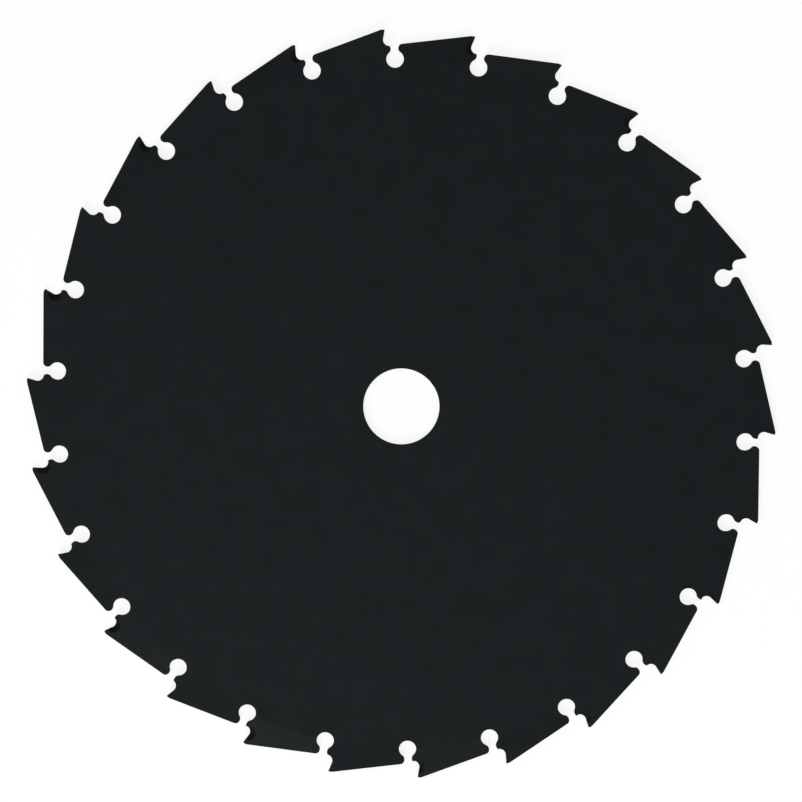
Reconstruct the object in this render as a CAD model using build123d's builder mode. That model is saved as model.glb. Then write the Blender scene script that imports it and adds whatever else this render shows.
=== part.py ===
from build123d import *
from math import atan, cos, degrees, radians, sin, sqrt, tan
import os

# Brush cutter blade, one flat steel disc with set and ground teeth, in millimetres.
# The disc lies flat, centred on its bore and on the middle of the plate, with +Z up.
# Seen from above the teeth point clockwise, and one gullet stands on +Y.

# Plate
tip_d = 250.0  # across the tooth tips
thickness = 2.0
bore_d = 25.4  # one inch arbor
tooth_pairs = 13  # a pair is one tooth set up and one set down

# Gullets, the keyhole cuts between the teeth
tooth_height = 9.75  # from the centre of the gullet's round hole to the tips
gullet_d = 5.8  # the hole ends the cut and keeps cracks from starting
neck_w = 2.5  # way from the hole to the chip space
neck_lag = 0.14  # the neck stands this far behind the centre of the hole
shoulder_r = 1.45  # rounding on both sides of the neck

# Set, the sideways bend that gives the cut its clearance
tooth_set = 0.5  # each tip stands out this far from the plate
bend_r = 8.0  # radius of the bend, at the middle of the plate

# Ground front of each tooth, a flat leading edge and below it the hollow of a round wheel.
# Both slant back across the plate from the side that the tooth is set to, which stays sharp.
hook_angle = 10.5  # forward lean of the leading edge
land = 1.3  # width of the tip on the outer circle
edge_bevel = 12.0  # slant of the leading edge
wheel_r = 2.0  # radius of the hollow on the sharp side
wheel_back = 1.81  # its centre there, behind the centre of the gullet's hole
wheel_rise = 6.39  # and above it
wheel_bevel = 40.0  # slant of the hollow
wheel_turn = 17.5  # the slant runs this far inwards of straight back
wheel_flare = 9.5  # opening of the hollow on its way through

# Worked out from the sizes above
tip_r = tip_d / 2
gullet_r = gullet_d / 2
gullet_circle_r = tip_r - tooth_height
pitch = 180 / tooth_pairs
middle = 90 + pitch / 2
bend_dist = gullet_circle_r * cos(radians(pitch / 2))
foot_half = gullet_circle_r * sin(radians(pitch / 2))
set_angle = degrees(atan(tooth_set / (tip_r - bend_dist)))
cut_reach = 2 * (thickness + tooth_set)

# Directions at the tooth between the gullet on +Y, in front of it, and the next one behind
outward = Vector(1, 0, 0).rotate(Axis.Z, middle)
forward = outward.cross(Vector(0, 0, 1))
bent_normal = Vector(0, 0, 1) * cos(radians(set_angle)) - outward * sin(radians(set_angle))

# The round shoulders touch the hole from outside, one on each side of the neck
front_hole = Vector(0, gullet_circle_r)
rear_hole = front_hole.rotate(Axis.Z, pitch)
reach = gullet_r + shoulder_r
nose_out = neck_w / 2 + neck_lag + shoulder_r
nose = Vector(-nose_out, sqrt(reach**2 - nose_out**2))
heel_out = neck_w / 2 - neck_lag + shoulder_r
heel = Vector(heel_out, sqrt(reach**2 - heel_out**2)).rotate(Axis.Z, pitch)

# The leading edge touches the wheel's circle and ends at the tip
edge_back = wheel_back + wheel_r * cos(radians(hook_angle))
edge_rise = wheel_rise + wheel_r * sin(radians(hook_angle))
tip_back = edge_back - (tooth_height - edge_rise) * tan(radians(hook_angle))
land_end = degrees((tip_back + land) / tip_r)
blank_tip = degrees((neck_w / 2 + neck_lag) / tip_r)

# Plan of one tooth before grinding, from the bend line out to the tip
with BuildSketch() as tooth_plan:
    with BuildLine():
        heel_circle = CenterArc(rear_hole + heel, shoulder_r, 0, 360, mode=Mode.PRIVATE)
        hole_front = RadiusArc(
            front_hole - forward * gullet_r,
            front_hole + nose * (gullet_r / reach),
            gullet_r,
        )
        nose_arc = TangentArc(
            hole_front @ 1,
            front_hole + nose + Vector(0, shoulder_r),
            tangent=hole_front % 1,
        )
        front = Line(nose_arc @ 1, Vector(0, tip_r).rotate(Axis.Z, blank_tip))
        rim = RadiusArc(front @ 1, Vector(0, tip_r).rotate(Axis.Z, land_end), -tip_r)
        back = ConstrainedLines(
            heel_circle,
            rim @ 1,
            selector=lambda lines: lines.sort_by(Axis.Y)[-1],
        )
        heel_arc = TangentArc(
            back @ 0,
            rear_hole + heel * (gullet_r / reach),
            tangent=back % 0 * -1,
        )
        hole_rear = TangentArc(
            heel_arc @ 1,
            rear_hole + forward * gullet_r,
            tangent=heel_arc % 1,
        )
        Line(hole_rear @ 1, hole_front @ 0)
    make_face()

# A tooth set up, made as a bent strip of plate that is cut to the plan and then ground
bend_view = Plane(outward * bend_dist, x_dir=outward, z_dir=forward)
sharp_side = Plane(front_hole, x_dir=(1, 0, 0), z_dir=bent_normal).offset(thickness / 2)

with BuildPart() as tooth_up:
    with BuildSketch(bend_view):
        with BuildLine():
            bend = JernArc((0, 0), (1, 0), bend_r, set_angle)
            Line(bend @ 1, bend @ 1 + bend % 1 * (tip_r - bend_dist))
        trace(line_width=thickness)
    extrude(amount=foot_half, both=True)
    extrude(tooth_plan.sketch, amount=cut_reach, both=True, mode=Mode.INTERSECT)

    # Leading edge, from the hollow to beyond the tip
    with BuildSketch(sharp_side):
        with Locations(Location((-edge_back, edge_rise), -hook_angle)):
            Rectangle(foot_half, tooth_height, align=(Align.MIN, Align.MIN))
    slant = forward * -sin(radians(edge_bevel)) - bent_normal * cos(radians(edge_bevel))
    extrude(amount=cut_reach, dir=slant, both=True, mode=Mode.SUBTRACT)

    # Hollow, a cone through the two circles that the wheel would leave beyond the faces
    for depth in (-thickness, 2 * thickness):
        lean = depth * tan(radians(wheel_bevel))
        back_there = wheel_back + lean * cos(radians(wheel_turn))
        rise_there = wheel_rise - lean * sin(radians(wheel_turn))
        with BuildSketch(sharp_side.offset(-depth)):
            with Locations((-back_there, rise_there)):
                Circle(wheel_r + depth * tan(radians(wheel_flare)))
    loft(mode=Mode.SUBTRACT)

with BuildPart() as tooth_down:
    mirror(tooth_up.part, about=Plane.XY)

# The disc is flat inside the bend lines, which run from gullet to gullet
with BuildPart() as blade:
    with BuildSketch():
        RegularPolygon(gullet_circle_r, 2 * tooth_pairs, rotation=90)
        with PolarLocations(gullet_circle_r, 2 * tooth_pairs, start_angle=90):
            Circle(gullet_r, mode=Mode.SUBTRACT)
        Circle(bore_d / 2, mode=Mode.SUBTRACT)
    extrude(amount=thickness / 2, both=True)
    with PolarLocations(0, tooth_pairs):
        add(tooth_up.part)
    with PolarLocations(0, tooth_pairs, start_angle=pitch):
        add(tooth_down.part)

os.makedirs("parts", exist_ok=True)
blade.part.label = "blade"
export_step(blade.part, "parts/blade.step")
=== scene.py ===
from math import cos, pi, radians, sin, sqrt, tan

import bpy
import numpy as np
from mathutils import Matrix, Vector
from mathutils.geometry import delaunay_2d_cdt


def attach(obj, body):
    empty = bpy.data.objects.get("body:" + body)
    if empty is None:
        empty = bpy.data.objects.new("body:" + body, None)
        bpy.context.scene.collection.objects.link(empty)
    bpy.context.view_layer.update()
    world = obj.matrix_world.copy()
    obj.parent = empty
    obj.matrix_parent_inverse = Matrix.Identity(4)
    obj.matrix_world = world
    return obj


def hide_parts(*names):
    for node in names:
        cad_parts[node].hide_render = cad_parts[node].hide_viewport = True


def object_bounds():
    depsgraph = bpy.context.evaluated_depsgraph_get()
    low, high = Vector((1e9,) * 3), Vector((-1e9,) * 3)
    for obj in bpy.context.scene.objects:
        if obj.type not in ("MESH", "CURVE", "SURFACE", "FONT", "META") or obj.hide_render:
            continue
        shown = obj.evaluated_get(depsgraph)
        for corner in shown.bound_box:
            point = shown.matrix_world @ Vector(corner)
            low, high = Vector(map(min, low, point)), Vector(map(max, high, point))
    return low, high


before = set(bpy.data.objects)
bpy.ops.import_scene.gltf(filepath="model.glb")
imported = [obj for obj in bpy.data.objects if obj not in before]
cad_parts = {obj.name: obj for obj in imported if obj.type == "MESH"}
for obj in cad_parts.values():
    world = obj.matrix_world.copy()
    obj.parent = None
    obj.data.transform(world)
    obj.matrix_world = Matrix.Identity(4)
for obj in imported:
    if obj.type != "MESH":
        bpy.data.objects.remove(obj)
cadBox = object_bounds()
print("frame loaded")

mm = 0.001  # the scene is in metres, the sizes below are in millimetres


# sRGB hex to the linear colour that the shaders take
def linear(hexColour):
    parts = [int(hexColour[i : i + 2], 16) / 255 for i in (1, 3, 5)]
    return [c / 12.92 if c <= 0.04045 else ((c + 0.055) / 1.055) ** 2.4 for c in parts] + [1.0]


# adds a node, sets its properties and plain sockets, and links the others
def addNode(tree, kind, sockets=None, links=None, **properties):
    node = tree.nodes.new(kind)
    for name, value in properties.items():
        setattr(node, name, value)
    for socket, value in (sockets or {}).items():
        node.inputs[socket].default_value = value
    for socket, source in (links or {}).items():
        tree.links.new(source, node.inputs[socket])
    return node


def newMaterial(name):
    material = bpy.data.materials.new(name)
    material.use_nodes = True
    material.node_tree.nodes.clear()
    return material, material.node_tree


def newObject(name, vertices, faces):
    mesh = bpy.data.meshes.new(name)
    mesh.from_pydata(vertices, [], faces)
    mesh.update()
    thing = bpy.data.objects.new(name, mesh)
    bpy.context.scene.collection.objects.link(thing)
    return thing


# The blade: one disc of hardened steel. Every other tooth is set up and ground with its
# sharp side up, the ones between are set down and ground the other way over.
blade = {
    "tipD": 250.0,
    "thickness": 2.0,
    "boreD": 25.4,
    "toothPairs": 13,
    "toothHeight": 9.75,  # from the centre of a gullet's hole to the tips
    "gulletD": 5.8,
    "neckW": 2.5,  # way from the hole out to the chip space
    "neckLag": 0.14,  # the neck stands this far behind the centre of the hole
    "shoulderR": 1.45,
    "toothSet": 0.5,  # each tip stands out this far from the plate
    "bendR": 8.0,
    "hookAngle": 10.5,  # forward lean of the leading edge
    "land": 1.3,  # width of the tip on the outer circle
    "edgeBevel": 12.0,  # slant of the leading edge across the plate
    "wheelR": 2.0,  # the hollow that the grinding wheel leaves under the leading edge
    "wheelBack": 1.81,  # its centre on the sharp side, behind the centre of the hole
    "wheelRise": 6.39,  # and above it
    "wheelBevel": 40.0,  # slant of the hollow across the plate
    "wheelTurn": 17.5,  # the slant runs this far inwards of straight back
    "wheelFlare": 9.5,  # opening of the hollow on its way through
    "stampedRound": 0.14,  # edges of the stamped blank, rounded by tumbling and lacquer
    "groundRound": 0.04,  # edges of the ground faces
    "boreRound": 0.16,
    "roundSteps": 3,  # rows over a rounding
    "wallSteps": 5,  # rows down the wall between two roundings
    "boreSteps": 180,  # points round the bore
    "outlineSteps": {  # points along each stretch of a tooth's outline
        "hole": 14,
        "frontNeck": 9,
        "nose": 14,
        "hollow": 26,
        "edge": 6,
        "land": 5,
        "back": 20,
        "heel": 12,
        "rearNeck": 10,
    },
    "plateRings": (20.0, 32.0, 48.0, 66.0, 84.0, 98.0, 107.0),  # rows of points in the disc
    "ringDensity": 2.0,  # points in such a row for each millimetre of its radius
    "mitreLimit": 2.0,  # a rounding reaches in at a corner by this many times its size at most
    "lineShift": 60.0,  # the edge lines of each tooth start this far on, so no two are alike
    "sharpAngle": 38.0,  # a larger turn between two faces is a sharp edge
}

# Plan points are complex numbers, x + y i in millimetres. The tooth drawn here stands
# behind the gullet on +Y, is set up, and its outline runs anticlockwise.
tipR = blade["tipD"] / 2
half = blade["thickness"] / 2
gulletR = blade["gulletD"] / 2
shoulderR = blade["shoulderR"]
holeDist = tipR - blade["toothHeight"]
teeth = 2 * blade["toothPairs"]
pitch = 2 * pi / teeth
pitchTurn = np.exp(1j * pitch)
bendDist = holeDist * cos(pitch / 2)
setSlope = blade["toothSet"] / (tipR - bendDist)
setAngle = np.arctan(setSlope)
bendRun = blade["bendR"] * sin(setAngle)
outward = 1j * np.exp(0.5j * pitch)
forward = outward * -1j
hook = radians(blade["hookAngle"])
frontHole = 1j * holeDist
rearHole = frontHole * pitchTurn
reach = gulletR + shoulderR
noseOut = blade["neckW"] / 2 + blade["neckLag"] + shoulderR
heelOut = blade["neckW"] / 2 - blade["neckLag"] + shoulderR
nose = frontHole + complex(-noseOut, sqrt(reach**2 - noseOut**2))
heel = rearHole + complex(heelOut, sqrt(reach**2 - heelOut**2)) * pitchTurn
wheelPlace = complex(-blade["wheelBack"], blade["wheelRise"])
edgePlace = wheelPlace - blade["wheelR"] * np.exp(-1j * hook)
tipBack = -edgePlace.real - (blade["toothHeight"] - edgePlace.imag) * tan(hook)
landEnd = 1j * tipR * np.exp(1j * (tipBack + blade["land"]) / tipR)


# points along an arc, without its last one, which begins the next stretch
def arc(centre, radius, start, end, steps):
    return centre + radius * np.exp(1j * np.linspace(start, end, steps, endpoint=False))


# the same along a straight line
def run(start, end, steps):
    return start + (end - start) * np.arange(steps) / steps


# direction of a point from a centre, as an angle above the given one
def angleAt(centre, point, above=-pi):
    angle = np.angle(point - centre)
    return angle if angle > above else angle + 2 * pi


# where a line from a point meets a circle further on
def lineMeets(start, way, centre, radius):
    across = (start - centre) / way
    return start + way * (sqrt(max(0.0, radius**2 - across.imag**2)) - across.real)


# One tooth's outline at a depth between the faces, 1 on the sharp side and -1 on the other.
# Each stretch has the same number of points at every depth, so the levels join up.
def toothOutline(level):
    steps = blade["outlineSteps"]
    depth = (1 - level) * half
    drift = -outward * level * half * setSlope
    lean = depth * tan(radians(blade["wheelBevel"]))
    turn = radians(blade["wheelTurn"])
    wheel = frontHole + wheelPlace - lean * np.exp(1j * turn) + drift
    wheelR = blade["wheelR"] + depth * tan(radians(blade["wheelFlare"]))
    edge = frontHole + edgePlace - forward * depth * tan(radians(blade["edgeBevel"])) + drift
    edgeWay = 1j * np.exp(-1j * hook)

    # the corner where the nose's rounding meets the hollow, and the two ends of the edge
    between = wheel - nose
    along = (abs(between) ** 2 + shoulderR**2 - wheelR**2) / (2 * abs(between))
    corner = nose + between / abs(between) * (along - 1j * sqrt(shoulderR**2 - along**2))
    edgeStart = lineMeets(edge, edgeWay, wheel, wheelR)
    tip = lineMeets(edge, edgeWay, 0, tipR)

    # one step round each hole spans the bend, and the back leaves the heel without a corner
    bendTop = np.arcsin(bendRun / gulletR)
    frontBend = np.angle(-forward) % (2 * pi)
    rearBend = np.angle(forward)
    noseTurn = angleAt(frontHole, nose)
    heelTurn = angleAt(rearHole, heel)
    backWay = heel - landEnd
    backLean = np.exp(-1j * np.arcsin(shoulderR / abs(backWay)))
    backTouch = heel - 1j * shoulderR * backWay / abs(backWay) * backLean
    hollowStart, hollowEnd = angleAt(wheel, corner, 0), angleAt(wheel, edgeStart, 0)
    return {
        "frontHole": arc(frontHole, gulletR, 1.5 * pi, frontBend, steps["hole"]),
        "frontBend": arc(frontHole, gulletR, frontBend, frontBend - bendTop, 1),
        "frontNeck": arc(frontHole, gulletR, frontBend - bendTop, noseTurn, steps["frontNeck"]),
        "nose": arc(nose, shoulderR, noseTurn - pi, angleAt(nose, corner), steps["nose"]),
        "hollow": arc(wheel, wheelR, hollowStart, hollowEnd, steps["hollow"]),
        "edge": run(edgeStart, tip, steps["edge"]),
        "land": arc(0, tipR, np.angle(tip), np.angle(landEnd), steps["land"]),
        "back": run(landEnd, backTouch, steps["back"]),
        "heel": arc(heel, shoulderR, angleAt(heel, backTouch), heelTurn + pi, steps["heel"]),
        "rearNeck": arc(rearHole, gulletR, heelTurn, rearBend + bendTop, steps["rearNeck"]),
        "rearBend": arc(rearHole, gulletR, rearBend + bendTop, rearBend, 1),
        "rearHole": arc(rearHole, gulletR, rearBend, pitch - pi / 2, steps["hole"]),
    }


# the ground stretches are thin edged and get their own material
outlineParts = toothOutline(0.0)
partNames = np.concatenate([[name] * len(points) for name, points in outlineParts.items()])
toothPoints = len(partNames)
isGround = np.isin(partNames, ("hollow", "edge"))
thinEdged = isGround | (partNames == "land")
rounding = np.tile(np.where(thinEdged, blade["groundRound"], blade["stampedRound"]), teeth)
toothNumber = np.repeat(np.arange(teeth), toothPoints)
toothTurn = pitchTurn**toothNumber
toothSide = np.where(toothNumber % 2 == 0, 1.0, -1.0)  # even teeth are set up


# the outline of the whole blade at a height, 1 on the upper face and -1 on the lower one
def bladeOutline(level, inset):
    sides = [np.concatenate(list(toothOutline(level * side).values())) for side in (1, -1)]
    ring = np.concatenate([sides[n % 2] * pitchTurn**n for n in range(teeth)])
    onward = np.roll(ring, -1) - ring
    onward /= abs(onward)
    backward = np.roll(onward, 1)
    inwards = 1j * (onward + backward) / abs(onward + backward)
    mitre = np.minimum(1 / (inwards / (1j * onward)).real, blade["mitreLimit"])
    return ring + inwards * mitre * rounding * inset


# height of a point of the outline, with its tooth bent up or down from the bend line on
def bladeHeight(ring, level):
    past = (ring / toothTurn / outward).real - bendDist
    onBend = np.clip(past, 0, bendRun)
    rise = blade["bendR"] - np.sqrt(blade["bendR"] ** 2 - onBend**2)
    rise = rise + np.maximum(past - bendRun, 0) * setSlope
    slope = onBend / bendRun * setAngle
    return toothSide * rise + level * half / np.cos(slope)


# rows from the upper face down to the lower one: height and share of the rounding
roundTurns = np.linspace(pi / 2, 0, blade["roundSteps"] + 1)
roundTall = blade["stampedRound"] / half
upperRows = [(1 - roundTall * (1 - sin(t)), 1 - cos(t)) for t in roundTurns]
wallRows = np.linspace(1 - roundTall, roundTall - 1, blade["wallSteps"] + 1)[1:-1]
rows = upperRows + [(h, 0.0) for h in wallRows] + [(-h, r) for h, r in reversed(upperRows)]

lacquerSlot, groundSlot, shearedSlot = range(3)  # order of the blade's materials
vertices = []
faces = []
faceMaterials = []
alongEdge = []  # millimetres along the outline, for the lines across the edges
outlinePoints = np.concatenate(list(outlineParts.values()))
stepLengths = abs(np.diff(outlinePoints, append=outlinePoints[:1] * pitchTurn))
toothAlong = np.concatenate([[0.0], np.cumsum(stepLengths)[:-1]])


# adds a row of points and gives their numbers
def addPoints(ring, heights, along=None):
    start = len(vertices)
    vertices.extend(zip(ring.real, ring.imag, np.broadcast_to(heights, ring.shape)))
    alongEdge.extend(np.zeros(len(ring)) if along is None else along)
    return np.arange(start, start + len(ring))


# quads between a row and the one under it, with the wall's outside on the right
def addWall(upper, lower, materials):
    nextUpper, nextLower = np.roll(upper, -1), np.roll(lower, -1)
    faces.extend(np.stack([upper, lower, nextLower, nextUpper], axis=1).tolist())
    faceMaterials.extend(materials)


rimAlong = np.tile(toothAlong, teeth) + blade["lineShift"] * toothNumber
rimRows = []
for level, inset in rows:
    ring = bladeOutline(level, inset)
    rimRows.append(addPoints(ring, bladeHeight(ring, level), rimAlong))
rimMaterials = np.tile(np.where(isGround, groundSlot, shearedSlot), teeth)
for upper, lower in zip(rimRows, rimRows[1:]):
    addWall(upper, lower, rimMaterials)

boreTurns = 2 * pi * np.arange(blade["boreSteps"]) / blade["boreSteps"]
boreCircle = np.exp(-1j * boreTurns)
boreR = blade["boreD"] / 2
boreProfile = [
    (half - blade["boreRound"] * (1 - sin(t)), boreR + blade["boreRound"] * (1 - cos(t)))
    for t in roundTurns
]
boreProfile += [(-height, radius) for height, radius in reversed(boreProfile)]
boreRows = [addPoints(boreCircle * r, height, boreR * boreTurns) for height, r in boreProfile]
for upper, lower in zip(boreRows, boreRows[1:]):
    addWall(upper, lower, np.full(len(upper), shearedSlot))


# A face of the disc, filled with triangles between the rim and the bore. The bend lines
# are edges of it, so that each tooth is flat from its bend on.
def addFace(rim, bore, level):
    rings = []
    for radius in blade["plateRings"]:
        count = int(radius * blade["ringDensity"])
        circle = radius * np.exp(2j * pi * np.arange(count) / count)
        rings.append(addPoints(circle, level * half))
    used = np.concatenate([rim, bore, *rings])
    flat = [Vector(vertices[i][:2]) for i in used]
    order = list(range(len(rim)))
    edges = list(zip(order, order[1:] + order[:1]))
    boreOrder = [len(rim) + i for i in range(len(bore))]
    edges += zip(boreOrder, boreOrder[1:] + boreOrder[:1])
    for front, rear in (("frontBend", "rearHole"), ("frontNeck", "rearBend")):
        first = np.flatnonzero(partNames == front)[0]
        last = np.flatnonzero(partNames == rear)[0]
        edges += [(first + n * toothPoints, last + n * toothPoints) for n in range(teeth)]
    edges = [(int(a), int(b)) for a, b in edges]
    # 1 asks for the triangles inside the outlines, and 1e-7 mm is as good as touching
    places, _, triangles, *_ = delaunay_2d_cdt(flat, edges, [], 1, 1e-7)
    if len(places) != len(flat):
        raise RuntimeError("the face needed points of its own")
    for triangle in triangles:
        if set(triangle).issubset(boreOrder):  # this one fills the bore
            continue
        corners = [int(used[i]) for i in triangle]
        faces.append(corners if level > 0 else corners[::-1])
        faceMaterials.append(lacquerSlot)


addFace(rimRows[0], boreRows[0], 1)
addFace(rimRows[-1], boreRows[-1], -1)

bladeVisual = newObject("bladeVisual", (np.array(vertices) * mm).tolist(), faces)
mesh = bladeVisual.data
mesh.attributes.new("alongEdge", "FLOAT", "POINT").data.foreach_set("value", alongEdge)
mesh.polygons.foreach_set("material_index", faceMaterials)
mesh.shade_smooth()
mesh.set_sharp_from_angle(angle=radians(blade["sharpAngle"]))
# The flat faces end in a crisp line where the rounding starts, so their shading stays flat.
# Neighbours in such a ring have numbers one apart, or the whole ring where it closes.
ends = np.empty(2 * len(mesh.edges), int)
mesh.edges.foreach_get("vertices", ends)
ends = ends.reshape(-1, 2)
sharp = np.empty(len(mesh.edges), bool)
mesh.attributes["sharp_edge"].data.foreach_get("value", sharp)
for ring in (rimRows[0], rimRows[-1], boreRows[0], boreRows[-1]):
    inRing = np.isin(ends, ring).all(axis=1)
    sharp |= inRing & np.isin(abs(ends[:, 0] - ends[:, 1]), (1, len(ring) - 1))
mesh.attributes["sharp_edge"].data.foreach_set("value", sharp)
weighted = bladeVisual.modifiers.new("evenShading", "WEIGHTED_NORMAL")
weighted.mode = "FACE_AREA"
weighted.weight = 100  # the large flat faces lead
weighted.keep_sharp = True
print(f"blade built, {len(mesh.polygons)} faces")

noiseReach = (0.3, 0.7)  # nearly all of a noise texture's values lie between these

# Satin black lacquer, sprayed on hardened steel and stoved. It gives the eye a near black
# with a cold tinge, an even half gloss and the faint ripple of a sprayed film.
lacquer = {
    "deep": "#080F11",  # where the film is thick
    "thin": "#101719",
    "ior": 1.5,
    "specular": 0.12,  # matched, a film's usual 0.5 turns the plate grey here
    "roughLow": 0.38,
    "roughHigh": 0.42,
    "cloudMm": 9.0,  # drifts of thicker and thinner film
    "cloudDetail": 4.0,
    "cloudRoughness": 0.65,
    "rippleMm": 1.6,  # orange peel
    "rippleDetail": 1.0,
    "rippleRoughness": 0.4,
    "rippleDepthMm": 0.04,
    "grainMm": 0.4,  # matting grains, really under 0.1 mm and drawn coarser to show
    "grainDetail": 2.0,
    "grainDepthMm": 0.012,
    "grainShare": 0.35,  # how much the grains count beside the drifts in colour and gloss
}
# The ground faces are the same steel, blued by the heat of the wheel and lacquered thinly.
# They look darker and duller than the plate, with fine lines where the grit has cut.
groundSteel = {
    "deep": "#111314",
    "thin": "#17191A",
    "ior": 1.5,
    "specular": 0.02,
    "roughLow": 0.6,
    "roughHigh": 0.75,
    "lineMm": 0.16,  # lines of an 80 grit wheel, a little coarser than real
    "lineDetail": 2.0,
    "lineDepthMm": 0.002,
}
# The sheared edges are torn rather than cut. Under the lacquer they are dull and dark, with
# coarser lines down through the plate.
shearedSteel = {
    "deep": "#0D1112",
    "thin": "#14191A",
    "ior": 1.5,
    "specular": 0.06,
    "roughLow": 0.5,
    "roughHigh": 0.7,
    "lineMm": 0.3,
    "lineDetail": 2.0,
    "lineDepthMm": 0.006,
}

lacquerMaterial, tree = newMaterial("satinBlackLacquerOnSteel")
place = addNode(tree, "ShaderNodeTexCoord").outputs["Object"]
cloud = addNode(
    tree,
    "ShaderNodeTexNoise",
    {
        "Scale": 1 / (lacquer["cloudMm"] * mm),
        "Detail": lacquer["cloudDetail"],
        "Roughness": lacquer["cloudRoughness"],
    },
    {"Vector": place},
)
ripple = addNode(
    tree,
    "ShaderNodeTexNoise",
    {
        "Scale": 1 / (lacquer["rippleMm"] * mm),
        "Detail": lacquer["rippleDetail"],
        "Roughness": lacquer["rippleRoughness"],
    },
    {"Vector": place},
)
grain = addNode(
    tree,
    "ShaderNodeTexNoise",
    {"Scale": 1 / (lacquer["grainMm"] * mm), "Detail": lacquer["grainDetail"]},
    {"Vector": place},
)
film = addNode(
    tree,
    "ShaderNodeMix",
    {"Factor": lacquer["grainShare"]},
    {"A": cloud.outputs["Fac"], "B": grain.outputs["Fac"]},
    data_type="FLOAT",
)
tint = addNode(tree, "ShaderNodeValToRGB", links={"Fac": film.outputs["Result"]})
for stop, position, colour in zip(tint.color_ramp.elements, noiseReach, ("deep", "thin")):
    stop.position = position
    stop.color = linear(lacquer[colour])
gloss = addNode(
    tree,
    "ShaderNodeMapRange",
    {
        "From Min": noiseReach[0],
        "From Max": noiseReach[1],
        "To Min": lacquer["roughLow"],
        "To Max": lacquer["roughHigh"],
    },
    {"Value": film.outputs["Result"]},
)
peel = addNode(
    tree,
    "ShaderNodeBump",
    {"Strength": 1.0, "Distance": lacquer["rippleDepthMm"] * mm},
    {"Height": ripple.outputs["Fac"]},
)
matting = addNode(
    tree,
    "ShaderNodeBump",
    {"Strength": 1.0, "Distance": lacquer["grainDepthMm"] * mm},
    {"Height": grain.outputs["Fac"], "Normal": peel.outputs["Normal"]},
)
surface = addNode(
    tree,
    "ShaderNodeBsdfPrincipled",
    {"Metallic": 0.0, "IOR": lacquer["ior"], "Specular IOR Level": lacquer["specular"]},
    {
        "Base Color": tint.outputs["Color"],
        "Roughness": gloss.outputs["Result"],
        "Normal": matting.outputs["Normal"],
    },
)
addNode(tree, "ShaderNodeOutputMaterial", links={"Surface": surface.outputs["BSDF"]})


# steel with fine lines that run down through the plate, thinly lacquered
def linedSteel(name, look):
    material, tree = newMaterial(name)
    edgeMm = addNode(tree, "ShaderNodeAttribute", attribute_name="alongEdge").outputs["Fac"]
    lines = addNode(
        tree,
        "ShaderNodeTexNoise",
        {"Scale": 1 / look["lineMm"], "Detail": look["lineDetail"]},
        {"W": edgeMm},
        noise_dimensions="1D",
    )
    tint = addNode(tree, "ShaderNodeValToRGB", links={"Fac": lines.outputs["Fac"]})
    for stop, position, colour in zip(tint.color_ramp.elements, noiseReach, ("deep", "thin")):
        stop.position = position
        stop.color = linear(look[colour])
    gloss = addNode(
        tree,
        "ShaderNodeMapRange",
        {"To Min": look["roughLow"], "To Max": look["roughHigh"]},
        {"Value": lines.outputs["Fac"]},
    )
    scratches = addNode(
        tree,
        "ShaderNodeBump",
        {"Strength": 1.0, "Distance": look["lineDepthMm"] * mm},
        {"Height": lines.outputs["Fac"]},
    )
    surface = addNode(
        tree,
        "ShaderNodeBsdfPrincipled",
        {"Metallic": 0.0, "IOR": look["ior"], "Specular IOR Level": look["specular"]},
        {
            "Base Color": tint.outputs["Color"],
            "Roughness": gloss.outputs["Result"],
            "Normal": scratches.outputs["Normal"],
        },
    )
    addNode(tree, "ShaderNodeOutputMaterial", links={"Surface": surface.outputs["BSDF"]})
    return material


groundMaterial = linedSteel("bluedGroundSteelThinLacquer", groundSteel)
shearedMaterial = linedSteel("shearedSteelEdgeThinLacquer", shearedSteel)
mesh.materials.append(lacquerMaterial)
mesh.materials.append(groundMaterial)
mesh.materials.append(shearedMaterial)

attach(bladeVisual, "root")
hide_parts("blade")
print("materials made")

# A pale floor that the blade rests on, with its far edge swept up as a backdrop
studioFloor = {
    "colour": "#FDFDFD",
    "flatRadii": (0.02, 0.5, 3.0),  # rows in the flat floor, in metres like the rest here
    "sweepR": 0.8,
    "wall": 0.4,
    "steps": 96,
    "sweepSteps": 12,
    "shownWhite": 0.86,  # share of plain white that the camera sees, the rest keeps the shadow
    "shadowR": 0.3,  # the share holds out to here and then grows
    "whiteR": 1.5,  # from here on all is plain white, the backdrop too
}
profile = [(radius, 0.0) for radius in studioFloor["flatRadii"]]
for step in range(1, studioFloor["sweepSteps"] + 1):
    turn = pi / 2 * step / studioFloor["sweepSteps"]
    out = studioFloor["flatRadii"][-1] + studioFloor["sweepR"] * sin(turn)
    profile.append((out, studioFloor["sweepR"] * (1 - cos(turn))))
profile.append((profile[-1][0], profile[-1][1] + studioFloor["wall"]))
floorZ = cadBox[0][2]
steps = studioFloor["steps"]
floorPoints = [
    (r * cos(2 * pi * n / steps), r * sin(2 * pi * n / steps), floorZ + z)
    for r, z in profile
    for n in range(steps)
]
floorFaces = [list(range(steps))]
for inner in range(0, steps * (len(profile) - 1), steps):
    outer = inner + steps
    for n in range(steps):
        after = (n + 1) % steps
        floorFaces.append([inner + n, outer + n, outer + after, inner + after])
floor = newObject("studioFloor", floorPoints, floorFaces)
floor.data.shade_smooth()
floorMaterial, tree = newMaterial("paleStudioFloor")
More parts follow.
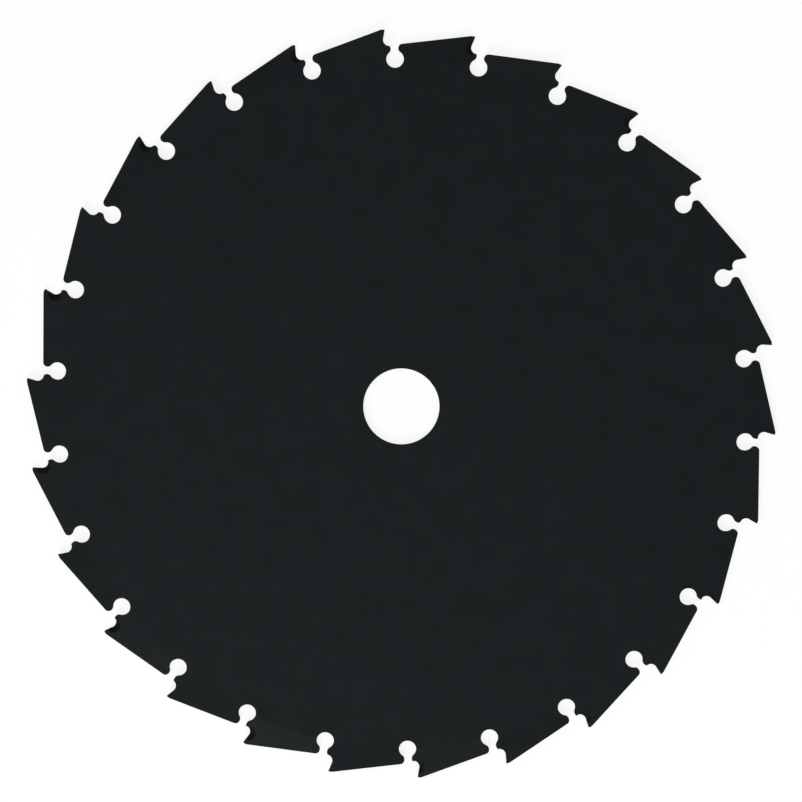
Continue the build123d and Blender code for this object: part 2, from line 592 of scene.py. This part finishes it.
# seen straight on, in gloss or through glass, the floor is mostly plain white
path = addNode(tree, "ShaderNodeLightPath")
cameraOrGlossy = addNode(
    tree,
    "ShaderNodeMath",
    links={0: path.outputs["Is Camera Ray"], 1: path.outputs["Is Glossy Ray"]},
    operation="MAXIMUM",
)
seen = addNode(
    tree,
    "ShaderNodeMath",
    links={0: cameraOrGlossy.outputs[0], 1: path.outputs["Is Transmission Ray"]},
    operation="MAXIMUM",
)
floorPlace = addNode(tree, "ShaderNodeTexCoord").outputs["Object"]
floorDist = addNode(tree, "ShaderNodeVectorMath", links={0: floorPlace}, operation="LENGTH")
shown = addNode(
    tree,
    "ShaderNodeMapRange",
    {
        "From Min": studioFloor["shadowR"],
        "From Max": studioFloor["whiteR"],
        "To Min": studioFloor["shownWhite"],
        "To Max": 1.0,
    },
    {"Value": floorDist.outputs["Value"]},
)
whiteShare = addNode(
    tree,
    "ShaderNodeMath",
    links={0: seen.outputs[0], 1: shown.outputs["Result"]},
    operation="MULTIPLY",
)
painted = addNode(tree, "ShaderNodeBsdfDiffuse", {"Color": linear(studioFloor["colour"])})
white = addNode(tree, "ShaderNodeEmission", {"Strength": 1.0})
mixed = addNode(
    tree,
    "ShaderNodeMixShader",
    links={0: whiteShare.outputs[0], 1: painted.outputs[0], 2: white.outputs[0]},
)
addNode(tree, "ShaderNodeOutputMaterial", links={"Surface": mixed.outputs[0]})
floor.data.materials.append(floorMaterial)
print("floor made")

# Large softboxes round the blade over a dim room. Each one's share is how much of the full
# light on the floor it gives, and with the room's they add up to one, the level at which a
# colour renders as it is written. A lamp's power follows from its share, its distance and
# size, and the slant of its light.
fullLight = pi  # watts on a square metre of the floor
studioLight = {
    "room": 0.16,
    "softboxes": (
        # name, azimuth, elevation, distance in metres, size in metres, share of the light
        ("keySoftbox", 247.0, 42.0, 1.5, 0.9, 0.48),
        ("leftSoftbox", 160.0, 42.0, 1.7, 0.9, 0.13),
        ("rightSoftbox", 340.0, 42.0, 1.7, 0.9, 0.11),
        ("backSoftbox", 67.0, 42.0, 1.8, 0.9, 0.04),
        ("overheadSoftbox", 0.0, 90.0, 1.9, 1.2, 0.08),
    ),
}
for name, azimuth, elevation, distance, size, share in studioLight["softboxes"]:
    lamp = bpy.data.lights.new(name, "AREA")
    lamp.shape = "SQUARE"
    lamp.size = size
    spread = pi * distance**2 + size**2
    lamp.energy = fullLight * share * spread / sin(radians(elevation))
    softbox = bpy.data.objects.new(name, lamp)
    bpy.context.scene.collection.objects.link(softbox)
    outBy = distance * cos(radians(elevation))
    softbox.location = (
        outBy * cos(radians(azimuth)),
        outBy * sin(radians(azimuth)),
        distance * sin(radians(elevation)),
    )
    softbox.rotation_euler = (-softbox.location).to_track_quat("-Z", "Y").to_euler()

world = bpy.data.worlds.new("dimRoom")
bpy.context.scene.world = world
world.use_nodes = True
world.node_tree.nodes.clear()
room = addNode(
    world.node_tree,
    "ShaderNodeBackground",
    {"Color": (1.0, 1.0, 1.0, 1.0), "Strength": studioLight["room"]},
)
addNode(world.node_tree, "ShaderNodeOutputWorld", links={"Surface": room.outputs[0]})
print("lights made")

# The camera looks down on the blade from nearly a metre up. It stands a little beyond the
# middle, on the picture's upper side, and leans back over it.
cameraSettings = {
    "place": (0.00378, 0.05398, 0.92041),  # in metres
    "turns": (-3.248, 0.182, -1.035),  # degrees about x, y and z
    "lens": 124.08,
    "sensor": 36.0,
    "clipStart": 0.01,
}
cameraData = bpy.data.cameras.new("camera")
cameraData.sensor_width = cameraSettings["sensor"]
cameraData.lens = cameraSettings["lens"]
cameraData.clip_start = cameraSettings["clipStart"]
camera = bpy.data.objects.new("camera", cameraData)
bpy.context.scene.collection.objects.link(camera)
camera.location = cameraSettings["place"]
camera.rotation_euler = [radians(turn) for turn in cameraSettings["turns"]]
bpy.context.scene.camera = camera
bpy.context.scene.view_settings.view_transform = "Standard"
print("camera made")
